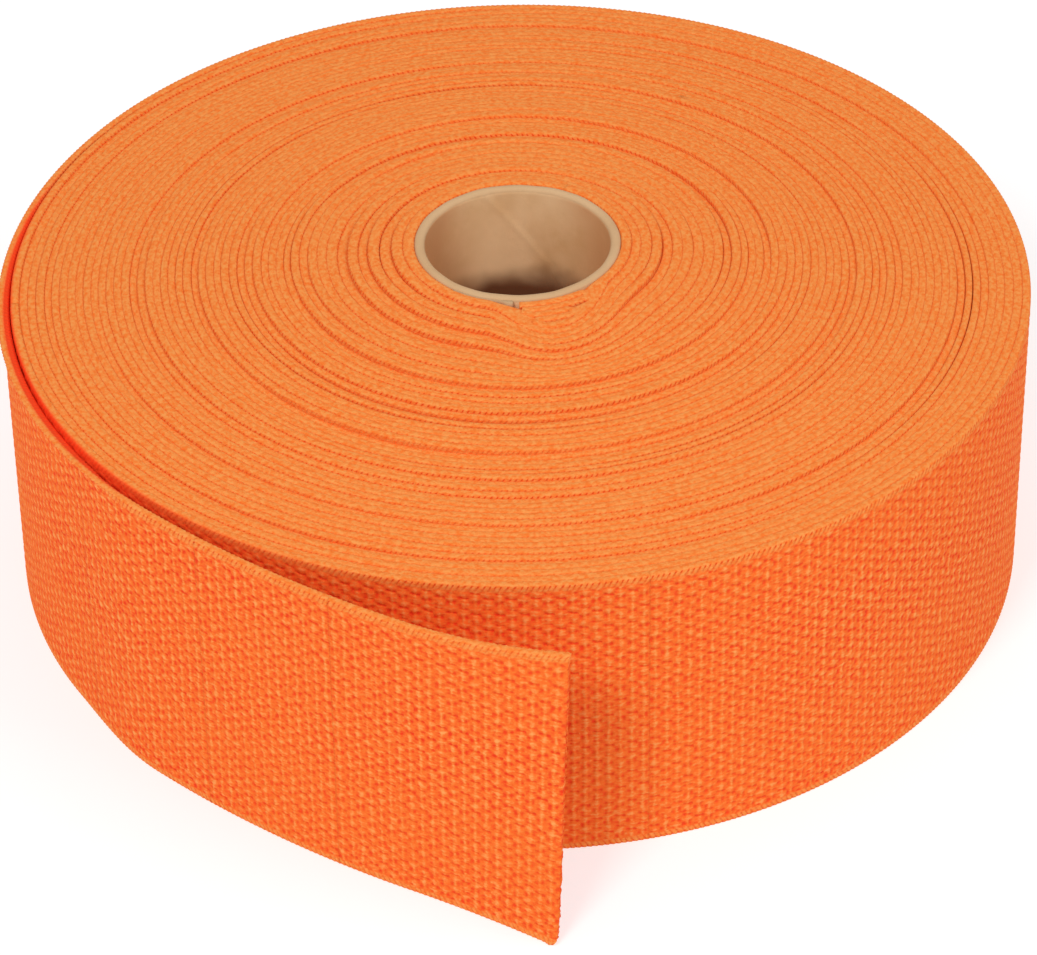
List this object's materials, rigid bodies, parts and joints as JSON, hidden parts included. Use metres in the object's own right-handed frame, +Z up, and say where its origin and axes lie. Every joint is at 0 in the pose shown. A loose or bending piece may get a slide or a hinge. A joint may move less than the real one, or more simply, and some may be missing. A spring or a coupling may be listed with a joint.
{
  "type": "webbing roll",
  "caption": "Flat woven webbing wound edge-up in a spiral on a thin cardboard core, its middle raised above the rim, its cut end peeled away from the roll.",
  "frame": {"origin": "on the plane the roll rests on, under the middle of the whole object's box", "axes": "+Z up, along the roll's axis; the loose tail is on the -Y side and points towards +X"},
  "size_m": [0.1606, 0.1804, 0.056],
  "materials": {
    "webbing": "woven, matt",
    "core": "matt kraft board",
    "tape": "satin kraft tape"
  },
  "bodies": {
    "roll": {"core_tube": "core", "start_tape": "tape", "webbing_start": "webbing", "webbing_wound_turns": "webbing", "webbing_last_turn": "webbing"},
    "tail_root": {"webbing_tail_root": "webbing"},
    "tail_middle": {"webbing_tail_middle": "webbing"},
    "tail_tip": {"webbing_tail_tip": "webbing"}
  },
  "joints": [
    {"name": "tail_peel", "type": "hinge", "parent": "roll", "child": "tail_root", "pos_m": [-0.05484, -0.04954, 0.025], "axis": [0, 0, -1], "range_deg": [-4, 25], "stiffness_Nm_per_rad": 0.05},
    {"name": "tail_bend", "type": "hinge", "parent": "tail_root", "child": "tail_middle", "pos_m": [-0.03623, -0.06467, 0.025], "axis": [0, 0, -1], "range_deg": [-8, 48], "stiffness_Nm_per_rad": 0.05},
    {"name": "tail_curl", "type": "hinge", "parent": "tail_middle", "child": "tail_tip", "pos_m": [-0.0158, -0.07724, 0.025], "axis": [0, 0, -1], "range_deg": [-8, 48], "stiffness_Nm_per_rad": 0.05}
  ],
  "couplings": [
    {"joint": "tail_bend", "follows": "tail_peel", "ratio": 1.9},
    {"joint": "tail_curl", "follows": "tail_peel", "ratio": 1.9}
  ]
}
